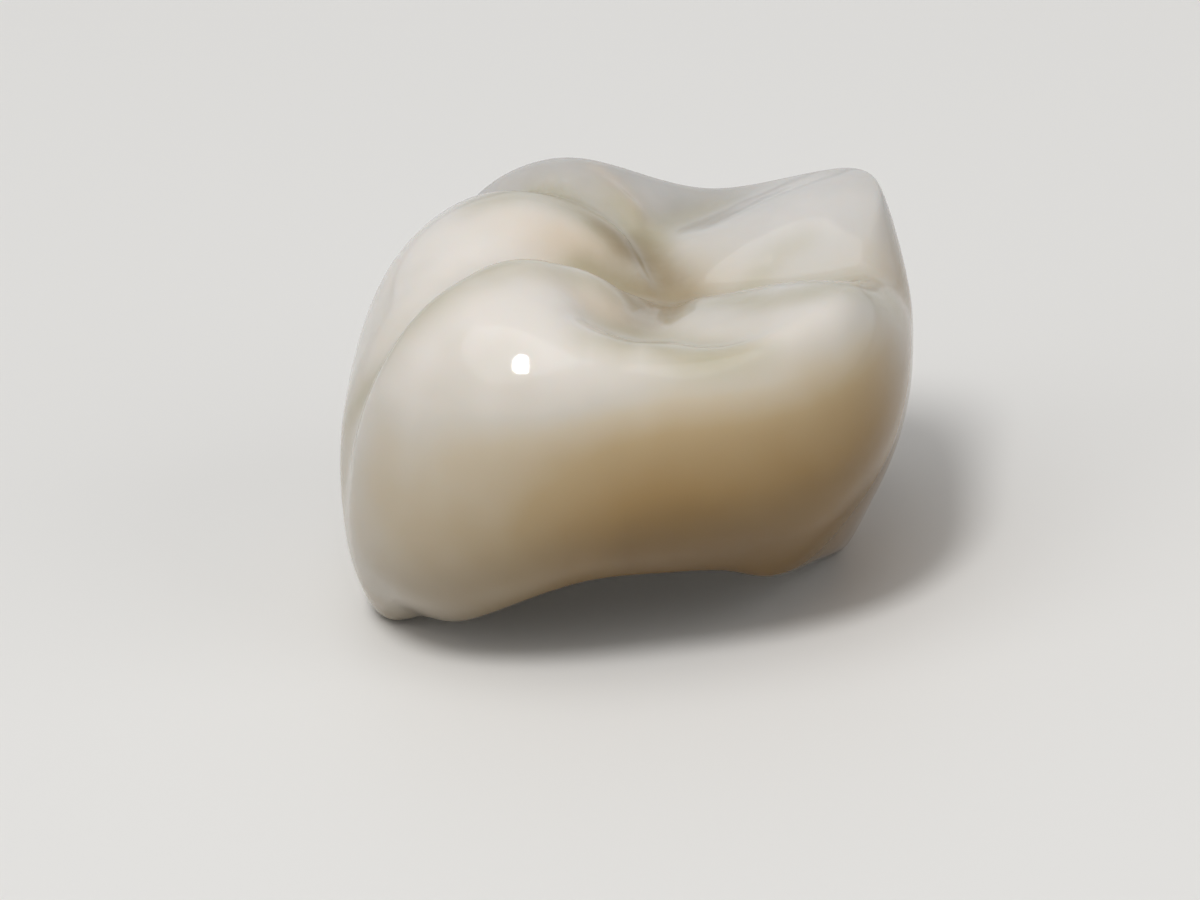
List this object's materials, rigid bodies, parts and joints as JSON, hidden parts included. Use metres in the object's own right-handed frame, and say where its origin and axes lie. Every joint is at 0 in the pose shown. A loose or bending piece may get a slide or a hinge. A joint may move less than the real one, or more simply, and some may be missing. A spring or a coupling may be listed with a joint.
{
  "type": "dental crown",
  "caption": "Ceramic molar crown: a hollow cap with rounded cusps, a grooved chewing surface and a scalloped margin.",
  "frame": {"origin": "centre of the crown's footprint, on the surface it stands on", "axes": "+Z towards the chewing surface, -X towards the cheek, +X towards the tongue, -Y towards the front of the mouth (mesial), +Y towards the back (distal)"},
  "size_m": [0.0106, 0.0106, 0.007],
  "materials": {
    "glazed_porcelain": "glossy glaze"
  },
  "bodies": {
    "root": {"crown": "glazed_porcelain"}
  },
  "joints": []
}
